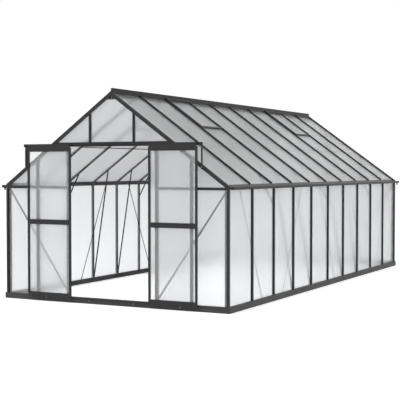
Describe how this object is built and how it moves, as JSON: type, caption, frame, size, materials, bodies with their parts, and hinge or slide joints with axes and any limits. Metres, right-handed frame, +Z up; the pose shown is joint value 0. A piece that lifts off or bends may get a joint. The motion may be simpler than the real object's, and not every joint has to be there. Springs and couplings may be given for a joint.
{
  "type": "greenhouse",
  "caption": "Walk-in greenhouse with a gable roof, dark aluminium bars, translucent wall and roof sheets, roof vents, gutters and a double sliding door.",
  "frame": {"origin": "on the ground under the middle of the base", "axes": "+X to the right seen from the door, +Y from the door end to the back, +Z up"},
  "size_m": [3.08, 6.156, 2.452],
  "materials": {
    "frame": "satin powder coat",
    "base_rail": "satin powder coat on folded steel",
    "wall_sheet": "translucent ribbed twin-wall sheet",
    "roof_sheet": "translucent ribbed twin-wall sheet",
    "gutter": "satin powder coat",
    "bracing": "mill finish",
    "door_gear": "dark moulded plastic and plate"
  },
  "bodies": {
    "house": {"apex_gussets": "bracing", "back_crossbars": "frame", "back_gable_sheets": "wall_sheet", "back_rafters": "frame", "back_wall_bars": "frame", "back_wall_sheets": "wall_sheet", "base_frame": "base_rail", "corner_posts": "frame", "door_guide": "frame", "door_posts": "frame", "door_track": "frame", "eave_beams": "frame", "end_wall_straps": "bracing", "front_crossbars": "frame", "front_gable_sheets": "wall_sheet", "front_head_beam": "frame", "front_rafters": "frame", "front_wall_bars": "frame", "front_wall_sheets": "wall_sheet", "knee_braces": "bracing", "left_gutter": "gutter", "left_roof_bars": "frame", "left_roof_sheets": "roof_sheet", "left_wall_bars": "frame", "left_wall_sheets": "wall_sheet", "left_wall_straps": "bracing", "purlins": "frame", "ridge_beam": "frame", "ridge_cap": "frame", "right_gutter": "gutter", "right_roof_bars": "frame", "right_roof_sheets": "roof_sheet", "right_wall_bars": "frame", "right_wall_sheets": "wall_sheet", "right_wall_straps": "bracing", "roof_vent_frames": "frame", "roof_vent_sheets": "roof_sheet", "roof_vent_sills": "frame", "struts": "bracing", "track_brackets": "frame"},
    "left_door": {"left_door_hangers": "door_gear", "left_door_rails": "frame", "left_door_sheets": "wall_sheet", "left_door_shoes": "door_gear", "left_door_stiles": "frame"},
    "right_door": {"right_door_hangers": "door_gear", "right_door_rails": "frame", "right_door_sheets": "wall_sheet", "right_door_shoes": "door_gear", "right_door_stiles": "frame"}
  },
  "joints": [
    {"name": "left_door_slide", "type": "slide", "parent": "house", "child": "left_door", "axis": [1, 0, 0], "range_m": [0, 0.512]},
    {"name": "right_door_slide", "type": "slide", "parent": "house", "child": "right_door", "axis": [-1, 0, 0], "range_m": [0, 0.512]}
  ]
}
